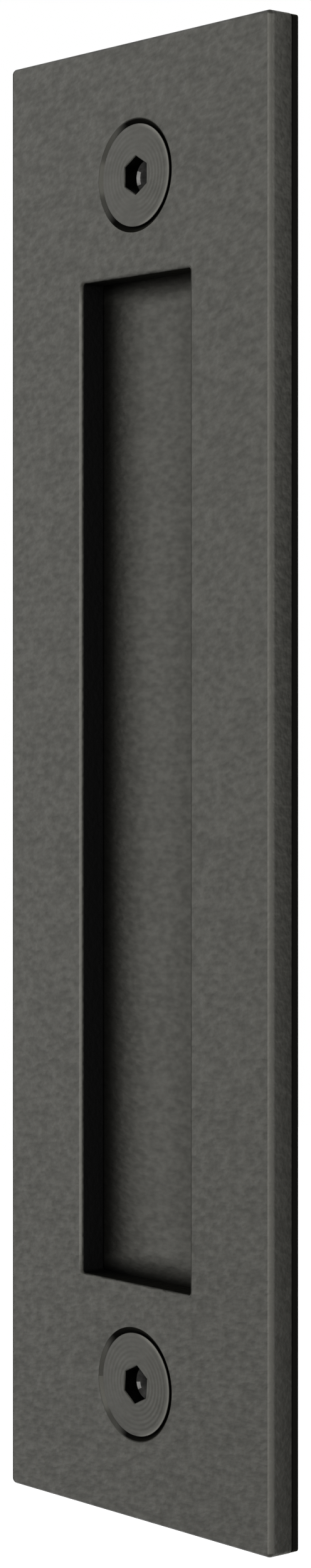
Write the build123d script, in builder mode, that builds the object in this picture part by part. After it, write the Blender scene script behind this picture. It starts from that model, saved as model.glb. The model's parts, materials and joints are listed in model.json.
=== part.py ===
from build123d import *
import math
import os

# Recessed handle for a sliding door leaf, in millimetres. A thick face plate with a finger window is backed
# by a thin sheet, which makes the floor of the recess, and two flat-head socket screws hold it to the door.
# +Z runs up the handle, the front looks along -Y, and the back of the sheet lies on Y = 0, on the door leaf.

# Face plate
plate_length = 220.0
plate_width = 60.0
plate_thickness = 4.4
plate_corner_radius = 0.8
plate_edge_round = 0.6
rear_edge_break = 0.25

# Finger window cut through the face plate
window_length = 150.0
window_width = 25.0
window_corner_radius = 0.5
window_edge_round = 0.5

# Back sheet, a little smaller than the plate all round
sheet_thickness = 1.1
sheet_inset = 0.1
sheet_corner_radius = 0.5

# Places of the two screws, on the centre line: this share of the way from the window's end to the plate's end
screw_place_share = 3 / 7
lower_screw_turn = 5.0

# Flat-head screws with a hexagon socket
screw_length = 25.0
thread_diameter = 8.0
neck_diameter = 7.2
neck_length = 2.0
head_diameter = 15.3
head_cone_angle = 90.0
head_rim_round = 0.1
tip_chamfer = 1.0

# Hexagon socket in the head
socket_across_flats = 5.0
socket_depth = 2.3
socket_point_angle = 120.0

# Fits of the screws in the plate and the sheet
head_rim_gap = 0.8
head_sink = 0.15
seat_clearance = 0.03
hole_clearance = 0.5
mouth_edge_round = 0.1

# Derived places and radii
front = plate_thickness + sheet_thickness
hole_radius = thread_diameter / 2 + hole_clearance
head_radius = head_diameter / 2
neck_radius = neck_diameter / 2
thread_radius = thread_diameter / 2
mouth_radius = head_radius + head_rim_gap
half_angle = math.radians(head_cone_angle / 2)
sheet_width = plate_width - 2 * sheet_inset
sheet_length = plate_length - 2 * sheet_inset
screw_spacing = window_length + screw_place_share * (plate_length - window_length)

os.makedirs("parts", exist_ok=True)

# Face plate: flat bar with rounded front edges, a countersunk hole near each end and a through window,
# whose rear edges are broken like those of the plate, so that a fine shadow line runs along the sheet
with BuildPart() as face_plate:
    with BuildSketch(Plane.XZ.offset(sheet_thickness)):
        RectangleRounded(plate_width, plate_length, plate_corner_radius)
    extrude(amount=plate_thickness)
    fillet(face_plate.faces().sort_by(Axis.Y)[0].edges(), plate_edge_round)
    with Locations(Plane.XZ.offset(front)):
        with GridLocations(0, screw_spacing, 1, 2):
            CounterSinkHole(hole_radius, mouth_radius, plate_thickness, head_cone_angle)
    fillet(face_plate.faces().sort_by(Axis.Y)[0].inner_wires().edges(), mouth_edge_round)
    with BuildSketch(Plane.XZ.offset(sheet_thickness)):
        RectangleRounded(window_width, window_length, window_corner_radius)
    extrude(amount=plate_thickness, mode=Mode.SUBTRACT)
    window = face_plate.faces().sort_by(Axis.Y)[0].inner_wires().sort_by(SortBy.LENGTH)[-1]
    fillet(window.edges(), window_edge_round)
    back = face_plate.faces().sort_by(Axis.Y)[-1]
    back_window = back.inner_wires().sort_by(SortBy.LENGTH)[-1]
    chamfer(back.outer_wire().edges() + back_window.edges(), rear_edge_break)
face_plate.part.label = "face_plate"
export_step(face_plate.part, "parts/face_plate.step")

# Back sheet: closes the window from behind, lies flat on the door and lets the screws through
with BuildPart() as back_sheet:
    with BuildSketch(Plane.XZ):
        RectangleRounded(sheet_width, sheet_length, sheet_corner_radius)
        with GridLocations(0, screw_spacing, 1, 2):
            Circle(hole_radius, mode=Mode.SUBTRACT)
    extrude(amount=sheet_thickness)
back_sheet.part.label = "back_sheet"
export_step(back_sheet.part, "parts/back_sheet.step")

# One screw on the Y axis: its head cone lies on the plate's countersink with the seat clearance between
head_top = -front + head_sink
cone_apex = -front + mouth_radius / math.tan(half_angle) - seat_clearance / math.sin(half_angle)
cone_start = cone_apex - head_radius / math.tan(half_angle)
cone_end = cone_apex - neck_radius / math.tan(half_angle)
thread_start = cone_end + neck_length
screw_tip = head_top + screw_length
socket_floor = head_top + socket_depth
socket_point = socket_floor + socket_across_flats / 2 / math.tan(math.radians(socket_point_angle / 2))

with BuildPart() as screw:
    with BuildSketch(Plane.XY):
        with BuildLine():
            Polyline(
                (0, head_top),
                (head_radius, head_top),
                (head_radius, cone_start),
                (neck_radius, cone_end),
                (neck_radius, thread_start),
                (thread_radius, thread_start + thread_radius - neck_radius),
                (thread_radius, screw_tip - tip_chamfer),
                (thread_radius - tip_chamfer, screw_tip),
                (0, screw_tip),
                close=True,
            )
        make_face()
    revolve(axis=Axis.Y)
    fillet(screw.faces().sort_by(Axis.Y)[0].edges(), head_rim_round)
    with BuildSketch(Plane.XZ.offset(-head_top)):
        RegularPolygon(socket_across_flats / 2, 6, major_radius=False, rotation=30)
    extrude(amount=-socket_depth, mode=Mode.SUBTRACT)
    with BuildSketch(Plane.XY):
        with BuildLine():
            Polyline(
                (0, socket_floor),
                (socket_across_flats / 2, socket_floor),
                (0, socket_point),
                close=True,
            )
        make_face()
    revolve(axis=Axis.Y, mode=Mode.SUBTRACT)

# The two screws, each driven home at its own angle
with BuildPart() as mounting_screws:
    with Locations((0, 0, screw_spacing / 2)):
        add(screw.part)
    with Locations((0, 0, -screw_spacing / 2)):
        add(screw.part, rotation=(0, lower_screw_turn, 0))
mounting_screws.part.label = "mounting_screws"
export_step(mounting_screws.part, "parts/mounting_screws.step")
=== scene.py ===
import json
import math
import bmesh
import bpy
from mathutils import Matrix, Vector


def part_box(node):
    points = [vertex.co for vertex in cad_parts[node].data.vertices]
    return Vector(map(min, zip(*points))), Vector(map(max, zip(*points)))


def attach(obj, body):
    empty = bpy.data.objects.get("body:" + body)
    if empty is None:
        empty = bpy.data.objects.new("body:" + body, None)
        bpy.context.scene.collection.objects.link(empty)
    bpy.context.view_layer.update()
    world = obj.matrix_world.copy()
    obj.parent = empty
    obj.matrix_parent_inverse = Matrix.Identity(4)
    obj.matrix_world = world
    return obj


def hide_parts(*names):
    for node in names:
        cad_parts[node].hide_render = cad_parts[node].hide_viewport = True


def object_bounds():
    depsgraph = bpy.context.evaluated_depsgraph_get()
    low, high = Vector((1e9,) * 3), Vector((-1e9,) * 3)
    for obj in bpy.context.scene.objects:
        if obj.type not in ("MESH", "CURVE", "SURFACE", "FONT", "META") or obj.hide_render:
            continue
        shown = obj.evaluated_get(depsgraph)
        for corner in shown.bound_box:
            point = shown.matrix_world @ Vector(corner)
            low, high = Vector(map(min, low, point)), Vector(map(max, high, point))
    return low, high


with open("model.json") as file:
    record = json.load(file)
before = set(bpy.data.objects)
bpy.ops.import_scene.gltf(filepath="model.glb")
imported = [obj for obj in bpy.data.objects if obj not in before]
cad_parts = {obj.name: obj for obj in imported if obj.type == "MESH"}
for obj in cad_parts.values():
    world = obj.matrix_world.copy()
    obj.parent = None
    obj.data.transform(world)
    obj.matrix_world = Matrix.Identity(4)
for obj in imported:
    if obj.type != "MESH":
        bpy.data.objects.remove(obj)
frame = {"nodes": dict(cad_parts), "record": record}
cad_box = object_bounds()
scene = bpy.context.scene

# Back sheet: thin steel sheet fixed behind the face plate, the floor of the finger recess.
# It is powder coated together with the plate, in a sandy matt black that turns grey where it mirrors
# the light. Painted shade turns the recess floor black towards the foot of its walls, and its laser-cut
# edge is painted black as shade.
coat_black = (0.0022, 0.0022, 0.0020, 1.0)
coat_grey = (0.0143, 0.0140, 0.0125, 1.0)
coat_shine = 0.35
coat_shine_tint = (1.0, 0.985, 0.853, 1.0)
cloud_size = 0.0032
grain_size = 0.00095
grit_size = 0.00032
grain_draw = (0.52, 1.0, 1.0)
grain_in_mottle = 0.75
grit_on_grain = 0.25
black_to_grey = (0.35, 0.65)
sheet_grain_height = 0.00012
sheet_roughness = (0.545, 0.465)
# Black for painted shade, with no sheen: the sheet's cut edge and the floor near the recess walls, and the
# shaded places on the plate
painted_shade_black = (0.003, 0.003, 0.003, 1.0)
shaded_sheet_roughness = 0.7
# Painted shade on the recess floor: black and without sheen towards the foot of the end walls, where it
# also turns duller, and up to about half as black towards the side walls
recess_corner = frame["record"]["physics"]["openings"][0]["box_m"][1]
shade_from_end = 0.0038
shade_from_side = 0.0105
shade_at_side = 0.52
# How squarely a spot faces along an axis, where a finish starts and where it is whole: 1 is square on
sheet_edge_on = (0.9, 0.1)
sheet_to_front = (-0.5, -0.9)


def feed(material, node, values):
    for socket, value in values.items():
        if isinstance(value, bpy.types.NodeSocket):
            material.node_tree.links.new(value, node.inputs[socket])
        else:
            node.inputs[socket].default_value = value


def add_node(material, kind, values, **settings):
    made = material.node_tree.nodes.new(kind)
    for key, value in settings.items():
        setattr(made, key, value)
    feed(material, made, values)
    return made


def start_material(name):
    material = bpy.data.materials.new(name)
    material.use_nodes = True
    material.node_tree.nodes.clear()
    shader = add_node(material, "ShaderNodeBsdfPrincipled", {})
    add_node(material, "ShaderNodeOutputMaterial", {"Surface": shader.outputs["BSDF"]})
    return material, shader


def noise(material, place, size, detail):
    ends = {0: place.outputs["Object"], 1: grain_draw}
    drawn = add_node(material, "ShaderNodeVectorMath", ends, operation="MULTIPLY").outputs["Vector"]
    values = {"Vector": drawn, "Scale": 1.0 / size, "Detail": detail}
    return add_node(material, "ShaderNodeTexNoise", values).outputs["Fac"]


def spread(material, value, low, high, to_low=0.0, to_high=1.0):
    values = {"Value": value, "From Min": low, "From Max": high, "To Min": to_low, "To Max": to_high}
    return add_node(material, "ShaderNodeMapRange", values).outputs["Result"]


def mixed(material, share, first, second, kind="RGBA"):
    values = {"Factor": share, "A": first, "B": second}
    return add_node(material, "ShaderNodeMix", values, data_type=kind).outputs["Result"]


def math_node(material, operation, *values):
    return add_node(material, "ShaderNodeMath", dict(enumerate(values)), operation=operation).outputs[0]


def product(material, first, *others):
    for other in others:
        first = math_node(material, "MULTIPLY", first, other)
    return first


def strongest(material, first, *others):
    for other in others:
        first = math_node(material, "MAXIMUM", first, other)
    return first


def all_but(material, share):
    return math_node(material, "SUBTRACT", 1.0, share)


def parts_of(material, vector):
    return add_node(material, "ShaderNodeSeparateXYZ", {"Vector": vector}).outputs


def unsigned_parts(material, vector):
    unsigned = add_node(material, "ShaderNodeVectorMath", {0: vector}, operation="ABSOLUTE")
    return parts_of(material, unsigned.outputs["Vector"])


def powder_coat(name, grain_height, most_and_least_matt, painted_light_places):
    material, shader = start_material(name)
    place = add_node(material, "ShaderNodeTexCoord", {})
    cloud = noise(material, place, cloud_size, detail=2.0)
    grain = noise(material, place, grain_size, detail=1.0)
    grit = noise(material, place, grit_size, detail=2.0)
    mottle = mixed(material, grain_in_mottle, cloud, grain, "FLOAT")
    colour = mixed(material, spread(material, mottle, *black_to_grey), coat_black, coat_grey)
    roughness = spread(material, mottle, *black_to_grey, *most_and_least_matt)
    # The places function paints light and shade: it returns colour, roughness, the share of painted shade,
    # which turns black with no sheen through Metallic, and where the relief is left out
    colour, roughness, painted_shade, smooth = painted_light_places(material, place, colour, roughness)
    height = math_node(material, "ADD", grain, product(material, grit, grit_on_grain))
    height = product(material, height, all_but(material, smooth))
    relief = {"Strength": 1.0, "Distance": grain_height, "Height": height}
    feed(material, shader, {
        "Base Color": colour,
        "Roughness": roughness,
        "Metallic": painted_shade,
        "Normal": add_node(material, "ShaderNodeBump", relief).outputs["Normal"],
        "Specular IOR Level": coat_shine,
        "Specular Tint": coat_shine_tint,
    })
    return material


# Painted shade on the sheet: its cut edge and the recess floor near the walls turn black and lose their
# sheen through the metallic share
def painted_shade_on_sheet(material, place, colour, roughness):
    edge = spread(material, unsigned_parts(material, place.outputs["Normal"])["Y"], *sheet_edge_on)
    to_front = spread(material, parts_of(material, place.outputs["Normal"])["Y"], *sheet_to_front)
    out = unsigned_parts(material, place.outputs["Object"])
    at_end = spread(material, out["Z"], recess_corner[2] - shade_from_end, recess_corner[2])
    at_side = spread(material, out["X"], recess_corner[0] - shade_from_side, recess_corner[0],
                     0.0, shade_at_side)
    dull = strongest(material, edge, product(material, at_end, to_front))
    painted_shade = strongest(material, dull, product(material, at_side, to_front))
    colour = mixed(material, painted_shade, colour, painted_shade_black)
    roughness = mixed(material, dull, roughness, shaded_sheet_roughness, "FLOAT")
    return colour, roughness, painted_shade, edge


def dress(node, material):
    slots = frame["nodes"][node].data.materials
    slots.clear()
    slots.append(material)


sheet_coat = powder_coat("sheet_coat_finish", sheet_grain_height, sheet_roughness, painted_shade_on_sheet)
dress("back_sheet", sheet_coat)

# Face plate: thick flat steel bar, with the finger window cut through it and a countersunk hole near each
# end. It wears the same sandy black coat. A painted highlight runs along the long edges that face right,
# and painted shade darkens its sides towards the rear, the rear chamfer, its edges turned to the left and a
# ring round each countersink mouth. The window's cut walls and most of each machined countersink are
# painted black as shade, and the far side of each countersink is painted a lighter grey as highlight.
plate_low, plate_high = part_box("face_plate")
plate_front = plate_low.y
plate_rear = plate_high.y
plate_side = plate_high.x
plate_grain_height = 0.0002
plate_roughness = (0.53, 0.445)
shaded_plate_roughness = 0.9
# Grey for the painted highlight on the rounded long edges that face right, and on the right of each screw
# head's rim
painted_highlight_grey = (0.105, 0.103, 0.093, 1.0)
# Lighter grey is a painted highlight on the far side of each countersink; elsewhere the seat takes painted
# shade
seat_highlight_grey = (0.031, 0.0305, 0.0276, 1.0)
seat_roughness = 0.22
# Painted shade on the window walls that face sideways; the walls across the ends take the painted shade
# black
shaded_side_wall_black = (0.014, 0.014, 0.014, 1.0)
window_margin = 0.0008
# Painted shade: the rear chamfer turns black, the outer sides darken towards the rear, and the edges turned
# to the left turn black, less so right of the middle
rear_edge_break = 0.00027
shade_at_rear = 0.5
dull_right_of_middle = 0.45
# Steps along an axis from an edge, to where the painted highlight starts and to where it is whole
highlight_on_face = (-0.0006, -0.0005)
highlight_on_side = (0.0010, 0.0004)
highlight_by_window = (-0.0009, -0.0005)
highlight_in_window = (0.0002, 0.0001)
highlight_from_window_end = (0.0, -0.003)
# Painted shade round each screw's axis: it leans, and it stops short of the mouth on the side far from the
# window
screws_low, screws_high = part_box("mounting_screws")
head_radius = screws_high.x
screw_up = screws_high.z - head_radius
seat_radius = 0.0090
# Painted shadow ring on the face round each countersink mouth
shade_ring_radius = 0.00855
shade_ring_edge = 0.00006
shade_lean = 0.19
shade_across = (-0.0062, -0.0037)
far_shade_radius = 0.0083
far_side_along = (-0.001, 0.004)
# How squarely a spot faces along an axis, where a finish starts and where it is whole: 1 is square on
plate_edge_on = (0.45, 0.15)
plate_long_way = (0.3, 0.1)
seat_tilt = (0.99, 0.90)
flat_of_face = (0.72, 0.80)
turned_to_left = (-0.02, -0.12)
off_the_side = (0.3, 0.5)


def from_screw_axis(material, place):
    spot = parts_of(material, place.outputs["Object"])
    along = math_node(material, "SUBTRACT", math_node(material, "ABSOLUTE", spot["Z"]), screw_up)
    across = add_node(material, "ShaderNodeCombineXYZ", {"X": spot["X"], "Z": along})
    out = add_node(material, "ShaderNodeVectorMath", {0: across.outputs["Vector"]}, operation="LENGTH")
    return out.outputs["Value"]


def in_window(material, place):
    out = unsigned_parts(material, place.outputs["Object"])
    return product(material,
                   math_node(material, "LESS_THAN", out["X"], recess_corner[0] + window_margin),
                   math_node(material, "LESS_THAN", out["Z"], recess_corner[2] + window_margin))


def near_edge(material, value, edge, steps):
    start, whole = steps
    return spread(material, value, edge + start, edge + whole)


# Painted highlight on the rounded long edges that face right: the plate's right edge and the window's left
# edge
def painted_highlight_edges(material, spot):
    outer = product(material,
                    near_edge(material, spot["X"], plate_side, highlight_on_face),
                    near_edge(material, spot["Y"], plate_front, highlight_on_side))
    out = math_node(material, "ABSOLUTE", spot["Z"])
    window = product(material,
                     near_edge(material, spot["X"], -recess_corner[0], highlight_by_window),
                     math_node(material, "LESS_THAN", spot["X"], 0.0),
                     near_edge(material, spot["Y"], plate_front, highlight_in_window),
                     near_edge(material, out, recess_corner[2], highlight_from_window_end))
    return strongest(material, outer, window)


# Painted shade in each countersink, all but its left side
def seat_shade_round_screw(material, spot, out):
    past_screw = math_node(material, "SUBTRACT", math_node(material, "ABSOLUTE", spot["Z"]), screw_up)
    across = math_node(material, "SUBTRACT", spot["X"], product(material, past_screw, shade_lean))
    far_mouth = product(material,
                        spread(material, past_screw, *far_side_along),
                        spread(material, out, far_shade_radius, shade_ring_radius))
    return product(material, spread(material, across, *shade_across), all_but(material, far_mouth))


# Painted light and shade on the plate: highlights on the right-facing edges and countersink far sides,
# black shade on the walls, rear chamfer, left-turned edges, sides and round the screws
def painted_light_on_plate(material, place, colour, roughness):
    spot = parts_of(material, place.outputs["Object"])
    facing = parts_of(material, place.outputs["Normal"])
    squarely = unsigned_parts(material, place.outputs["Normal"])
    inside = in_window(material, place)
    upright = spread(material, squarely["Y"], *plate_edge_on)
    long_way = spread(material, squarely["Z"], *plate_long_way)
    # Painted highlight along those edges, away from the rounded ends
    edge = product(material, painted_highlight_edges(material, spot), long_way)
    out = from_screw_axis(material, place)
    near_screw = math_node(material, "LESS_THAN", out, seat_radius)
    seat = product(material, near_screw, spread(material, squarely["Y"], *seat_tilt))
    # Painted shade on the countersinks and a painted shadow ring round their mouths, except on their far
    # side
    seat_shade = seat_shade_round_screw(material, spot, out)
    shaded_seat = product(material, seat, seat_shade)
    shade_ring = product(material, seat_shade,
                      spread(material, out, shade_ring_radius, shade_ring_radius - shade_ring_edge),
                      spread(material, squarely["Y"], *flat_of_face))
    # Painted shade: the window's cut walls turn black, with no sheen
    walls = product(material, inside, upright)
    # Painted shade along the rear chamfer
    rear = math_node(material, "GREATER_THAN", spot["Y"], plate_rear - rear_edge_break)
    # Painted shade on rounded edges turned to the left, weaker right of the middle
    turned_left = product(material, long_way, all_but(material, near_screw),
                          spread(material, facing["X"], *turned_to_left),
                          spread(material, spot["X"], -plate_side / 2, 0.0, 1.0, dull_right_of_middle),
                          spread(material, squarely["Y"], *off_the_side))
    # Painted shade on the outer sides, darker towards the rear
    sides = product(material, upright, all_but(material, inside),
                    spread(material, spot["Y"], plate_front, plate_rear, 0.0, shade_at_rear))
    dull = strongest(material, rear, turned_left, shade_ring)
    shaded_black = strongest(material, dull, sides)
    shaded_deep = strongest(material, walls, shaded_seat)
    shaded_wall_black = mixed(material, squarely["Z"], shaded_side_wall_black, painted_shade_black)
    colour = mixed(material, edge, colour, painted_highlight_grey)
    # Lighter grey on the countersinks is a painted highlight, left showing only on their far side
    colour = mixed(material, seat, colour, seat_highlight_grey)
    colour = mixed(material, walls, colour, shaded_wall_black)
    colour = mixed(material, strongest(material, shaded_black, shaded_seat), colour, painted_shade_black)
    roughness = mixed(material, seat, roughness, seat_roughness, "FLOAT")
    roughness = mixed(material, strongest(material, shaded_deep, dull), roughness, shaded_plate_roughness, "FLOAT")
    return colour, roughness, strongest(material, shaded_black, shaded_deep), seat


plate_coat = powder_coat("plate_coat_finish", plate_grain_height, plate_roughness, painted_light_on_plate)
dress("face_plate", plate_coat)

# Mounting screws: two M8 flat-head screws with a hexagon socket, which seat in the plate's countersinks
# and go into the door. The heads are coated like the plate but smoother, with turned rings and a painted
# highlight on the right of the rim. The rest is blackened steel, and two sides of each socket's drilled
# floor are bright steel, partly rubbed by the key and partly a painted glint.
head_top = screws_low.y
screw_tip = screws_high.y
rim_round = 0.0001
rim_steps = 6
land_height = 0.0006
neck_radius = 0.0036
neck_length = 0.002
cone_start = head_top + land_height
cone_end = cone_start + head_radius - neck_radius
thread_start = cone_end + neck_length
thread_radius = 0.004
thread_pitch = 0.00125
thread_depth = 0.00077
thread_run_out = 0.0015
tip_radius = 0.003
# Along one pitch of the thread: share of the pitch, and how deep the groove is there
thread_marks = ((0.0, 0.0), (0.125, 0.0), (0.28125, 0.5), (0.4375, 1.0), (0.6875, 1.0), (0.84375, 0.5))
socket_side = math.radians(60.0)
socket_half = 0.0025
socket_depth = 0.0023
socket_edge_break = 0.00012
drill_half_angle = math.radians(60.0)
drill_point_depth = socket_depth + socket_half / math.tan(drill_half_angle)
rubbed_glint_radius = 0.0020
rubbed_glint_depth = drill_point_depth - rubbed_glint_radius / math.tan(drill_half_angle)
# Bright steel in each socket, partly key wear and partly a painted glint: half the angle that it reaches,
# and how far that is turned
upper_rubbed_glint = (math.radians(26.0), 0.0)
lower_rubbed_glint = (math.radians(12.0), math.radians(-24.0))
lower_turn = math.radians(5.0)
columns = 96
weld_distance = 0.000001
sharp_from = math.radians(28.0)
# Where each finish stands in the screws' list of materials
head_finish = 0
steel_finish = 1
worn_glint_finish = 2
drilled_finish = 3


def angle_of(column):
    return 2.0 * math.pi * column / columns


def screw_point(mesh, radius, column, depth):
    angle = angle_of(column)
    return mesh.verts.new((radius * math.sin(angle), depth, radius * math.cos(angle)))


def add_band(mesh, first, second, finishes):
    for column, finish in enumerate(finishes):
        corners = (first[column], first[column + 1], second[column + 1], second[column])
        mesh.faces.new(corners).material_index = finish


def socket_radius(angle):
    return socket_half / math.cos(angle % socket_side - socket_side / 2)


def socket_mouth_radius(angle):
    return socket_radius(angle) + socket_edge_break


def round_row(radius, depth, finish):
    return (lambda angle: radius), depth, finish


# Each row, from the drill point out and down to the neck, names the finish of the band that leads to it
def head_rows():
    rows = [
        round_row(0.0, head_top + drill_point_depth, drilled_finish),
        round_row(rubbed_glint_radius, head_top + rubbed_glint_depth, drilled_finish),
        round_row(socket_half, head_top + socket_depth, worn_glint_finish),
        (socket_radius, head_top + socket_depth, steel_finish),
        (socket_radius, head_top + socket_edge_break, steel_finish),
        (socket_mouth_radius, head_top, head_finish),
    ]
    for step in range(rim_steps + 1):
        turn = math.radians(90.0) * step / rim_steps
        radius = head_radius - rim_round * (1.0 - math.sin(turn))
        depth = head_top + rim_round * (1.0 - math.cos(turn))
        rows.append(round_row(radius, depth, head_finish))
    rows.append(round_row(head_radius, cone_start, steel_finish))
    rows.append(round_row(neck_radius, cone_end, steel_finish))
    rows.append(round_row(neck_radius, thread_start, steel_finish))
    return rows


def add_head(mesh, half_angle, rubbed_glint_turn):
    before = None
    for radius, depth, finish in head_rows():
        points = [screw_point(mesh, radius(angle_of(column)), column, depth) for column in range(columns)]
        points.append(points[0])
        finishes = [finish] * columns
        if finish == worn_glint_finish:
            for column in range(columns):
                off_middle = abs(math.cos(angle_of(column + 0.5) - rubbed_glint_turn))
                if off_middle >= math.sin(half_angle):
                    finishes[column] = drilled_finish
        if before:
            add_band(mesh, before, points, finishes)
        before = points


def thread_radius_at(depth, groove):
    from_start = depth - thread_start
    outside = min(neck_radius + from_start, thread_radius, tip_radius + screw_tip - depth)
    return min(outside, thread_radius - groove * thread_depth * min(from_start / thread_run_out, 1.0))


def add_thread(mesh):
    rows = []
    turns = math.ceil((screw_tip - thread_start) / thread_pitch) + 2
    for start in range(-1, turns):
        for share, groove in thread_marks:
            row = []
            for column in range(columns):
                depth = thread_start + thread_pitch * (start + share + column / columns)
                depth = min(max(depth, thread_start), screw_tip)
                row.append(screw_point(mesh, thread_radius_at(depth, groove), column, depth))
            rows.append(row)
    per_turn = len(thread_marks)
    onward = [row + after[:1] for row, after in zip(rows, rows[per_turn:])]
    for first, second in zip(onward, onward[1:]):
        add_band(mesh, first, second, [steel_finish] * columns)


def add_tip(mesh):
    middle = [screw_point(mesh, 0.0, column, screw_tip) for column in range(columns)]
    rim = [screw_point(mesh, tip_radius, column, screw_tip) for column in range(columns)]
    add_band(mesh, rim + rim[:1], middle + middle[:1], [steel_finish] * columns)


def screw(up, turn, rubbed_glint):
    mesh = bmesh.new()
    add_head(mesh, *rubbed_glint)
    add_thread(mesh)
    add_tip(mesh)
    bmesh.ops.remove_doubles(mesh, verts=mesh.verts, dist=weld_distance)
    bmesh.ops.dissolve_degenerate(mesh, edges=mesh.edges, dist=weld_distance)
    loose = [vert for vert in mesh.verts if not vert.link_faces]
    bmesh.ops.delete(mesh, geom=loose, context="VERTS")
    bmesh.ops.recalc_face_normals(mesh, faces=mesh.faces)
    mesh.transform(Matrix.Translation((0.0, 0.0, up)) @ Matrix.Rotation(turn, 4, "Y"))
    made = bpy.data.meshes.new("one_screw")
    mesh.to_mesh(made)
    mesh.free()
    return made


both = bmesh.new()
both.from_mesh(screw(screw_up, 0.0, upper_rubbed_glint))
both.from_mesh(screw(-screw_up, lower_turn, lower_rubbed_glint))
screws_mesh = bpy.data.meshes.new("socket_screws")
both.to_mesh(screws_mesh)
both.free()
screws_mesh.shade_smooth()
screws_mesh.set_sharp_from_angle(angle=sharp_from)
socket_screws = bpy.data.objects.new("socket_screws", screws_mesh)
scene.collection.objects.link(socket_screws)

# Finishes of the screws: the rings and the grain of the heads, and the clouds of the bare steel
ring_size = 0.0007
ring_height = 0.12
head_grain = 0.6
head_relief = 0.5
head_mottle = (0.25, 0.75)
head_black_to_grey = (0.2, 0.8)
head_roughness = (0.51, 0.46)
roughness_clouds = (0.3, 0.7)
# Painted highlight on the right half of each head's rim
rim_highlight_width = 0.0006
rim_highlight_start = 0.003
point_radius = 0.0005


def head_coat():
    material, shader = start_material("screw_head_finish")
    place = add_node(material, "ShaderNodeTexCoord", {})
    spot = parts_of(material, place.outputs["Object"])
    out = from_screw_axis(material, place)
    rings = math_node(material, "SINE", product(material, out, 2.0 * math.pi / ring_size))
    grain = noise(material, place, grain_size, detail=2.0)
    height = math_node(material, "ADD", product(material, rings, ring_height),
                       product(material, grain, head_grain))
    relief = {"Strength": head_relief, "Distance": plate_grain_height, "Height": height}
    mottle = spread(material, grain, *head_mottle, *head_black_to_grey)
    # Painted highlight on the rim, on the right half only
    rim = product(material,
                  spread(material, out, head_radius - rim_highlight_width, head_radius - rim_round),
                  spread(material, spot["X"], 0.0, rim_highlight_start))
    feed(material, shader, {
        "Base Color": mixed(material, rim, mixed(material, mottle, coat_black, coat_grey), painted_highlight_grey),
        "Roughness": spread(material, grain, *roughness_clouds, *head_roughness),
        "Normal": add_node(material, "ShaderNodeBump", relief).outputs["Normal"],
        "Specular IOR Level": coat_shine,
        "Specular Tint": coat_shine_tint,
    })
    return material


def bare_steel(name, clouds, dark, pale, roughness):
    material, shader = start_material(name)
    place = add_node(material, "ShaderNodeTexCoord", {})
    cloud = noise(material, place, clouds, detail=4.0)
    out_of_point = spread(material, from_screw_axis(material, place), point_radius, rubbed_glint_radius)
    feed(material, shader, {
        "Base Color": mixed(material, product(material, cloud, out_of_point), dark, pale),
        "Roughness": spread(material, cloud, *roughness_clouds, *roughness),
        "Metallic": 1.0,
    })
    return material


blackened_steel = bare_steel("screw_steel_finish", clouds=0.0015, dark=(0.002, 0.002, 0.002, 1.0),
                             pale=(0.012, 0.012, 0.011, 1.0), roughness=(0.38, 0.55))
# Bright steel on two sides of each socket floor, partly key wear and partly a painted glint
rubbed_glint_steel = bare_steel("screw_socket_finish", clouds=0.0004, dark=(0.10, 0.098, 0.095, 1.0),
                          pale=(0.20, 0.196, 0.190, 1.0), roughness=(0.30, 0.42))
drilled_steel = bare_steel("screw_drilled_finish", clouds=0.0004, dark=(0.003, 0.003, 0.0029, 1.0),
                           pale=(0.040, 0.0394, 0.0374, 1.0), roughness=(0.30, 0.42))
for finish in (head_coat(), blackened_steel, rubbed_glint_steel, drilled_steel):
    screws_mesh.materials.append(finish)
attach(socket_screws, "root")
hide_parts("mounting_screws")

# Floor: a wide white floor a metre below the handle, which hangs on its door and stands on nothing.
# It is matt white paint, so it takes a soft shadow and throws light back up.
floor_drop = 1.0
floor_half = 6.0
floor_paint = (0.8, 0.8, 0.8, 1.0)
floor_roughness = 0.9
plain_white = (1.0, 1.0, 1.0, 1.0)
floor_z = cad_box[0][2] - floor_drop
floor_mesh = bpy.data.meshes.new("floor")
floor_mesh.from_pydata(
    [(-floor_half, -floor_half, floor_z), (floor_half, -floor_half, floor_z),
     (floor_half, floor_half, floor_z), (-floor_half, floor_half, floor_z)],
    [], [(0, 1, 2, 3)])
floor = bpy.data.objects.new("floor", floor_mesh)
scene.collection.objects.link(floor)


def looked_at(surface):
    path = add_node(surface, "ShaderNodeLightPath", {}).outputs
    return strongest(surface, path["Is Camera Ray"], path["Is Glossy Ray"], path["Is Transmission Ray"])


floor_white, shader = start_material("floor_white")
feed(floor_white, shader, {
    "Base Color": floor_paint,
    "Roughness": floor_roughness,
    "Specular IOR Level": 0.0,
    "Emission Color": plain_white,
    "Emission Strength": looked_at(floor_white),
})
floor_mesh.materials.append(floor_white)

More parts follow.
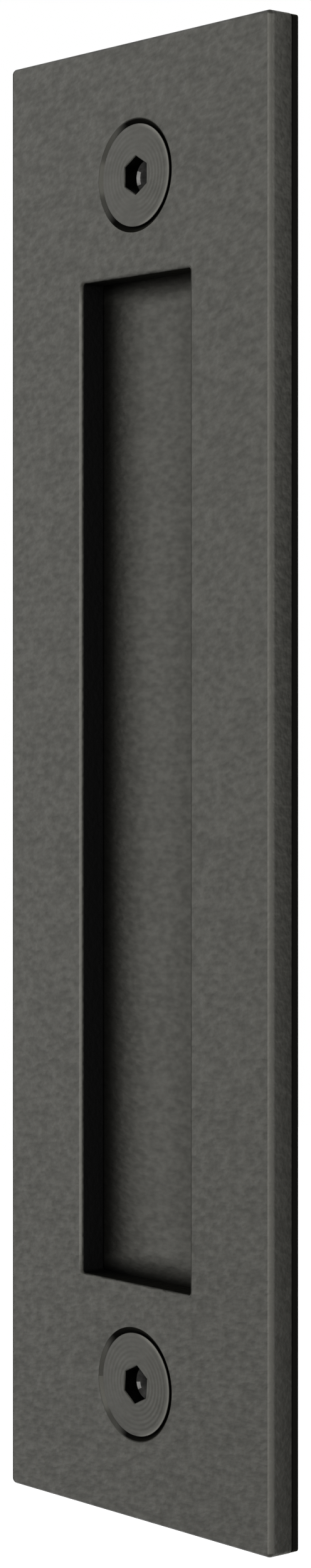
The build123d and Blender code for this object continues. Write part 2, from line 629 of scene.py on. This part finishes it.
# Room: a white light tent. What mirrors it or looks through to it sees plain white, and its
# stray light on the handle is weak beside the lamps.
stray_light = 0.3
seen_light = 1.0
world = bpy.data.worlds.new("light_tent")
scene.world = world
world.use_nodes = True
world.node_tree.nodes.clear()
dim = add_node(world, "ShaderNodeBackground", {"Color": plain_white, "Strength": stray_light})
bright = add_node(world, "ShaderNodeBackground", {"Color": plain_white, "Strength": seen_light})
either = {0: looked_at(world), 1: dim.outputs[0], 2: bright.outputs[0]}
tent = add_node(world, "ShaderNodeMixShader", either)
add_node(world, "ShaderNodeOutputWorld", {"Surface": tent.outputs[0]})

# Lamps: a wide soft box on the left, which the flat of the plate mirrors, a slimmer one on the front right
# for the rounded edges and the far sides of the countersinks, and one behind on the right for the side.
# They stand a little high and aim at the middle of the handle.
lamp_distance = 1.3


def soft_box(name, bearing, height, width, tall, glow):
    lamp = bpy.data.lights.new(name, "AREA")
    lamp.shape = "RECTANGLE"
    lamp.size = width
    lamp.size_y = tall
    lamp.energy = glow * math.pi * width * tall
    stand = bpy.data.objects.new(name, lamp)
    turn = math.radians(bearing)
    stand.location = (lamp_distance * math.sin(turn), -lamp_distance * math.cos(turn), height)
    stand.rotation_euler = (-Vector(stand.location)).to_track_quat("-Z", "Y").to_euler()
    scene.collection.objects.link(stand)


soft_box("left_lamp", bearing=-42.0, height=0.28, width=1.4, tall=1.8, glow=2.03)
soft_box("front_lamp", bearing=28.0, height=0.2, width=0.7, tall=1.1, glow=2.4)
soft_box("side_lamp", bearing=130.0, height=0.42, width=0.9, tall=0.9, glow=1.9)

# Camera: level, a little above the middle of the handle and well round to its right,
# with the picture shifted a little so that the handle stands in it as in the photo.
view_turn = math.radians(49.8)
view_distance = 0.4896
view_height = 0.0117
view_aside = 0.0031
view_lens = 75.55
view_sensor = 36.0
view_shift = -0.0528
ahead = Vector((-math.sin(view_turn), math.cos(view_turn), 0.0))
right = Vector((math.cos(view_turn), math.sin(view_turn), 0.0))
camera = bpy.data.cameras.new("camera")
camera.lens = view_lens
camera.sensor_width = view_sensor
camera.shift_y = view_shift
tripod = bpy.data.objects.new("camera", camera)
tripod.location = Vector((0.0, plate_front, view_height)) - view_distance * ahead + view_aside * right
tripod.rotation_euler = (math.radians(90.0), 0.0, view_turn)
scene.collection.objects.link(tripod)
scene.camera = tripod

scene.view_settings.view_transform = "Standard"
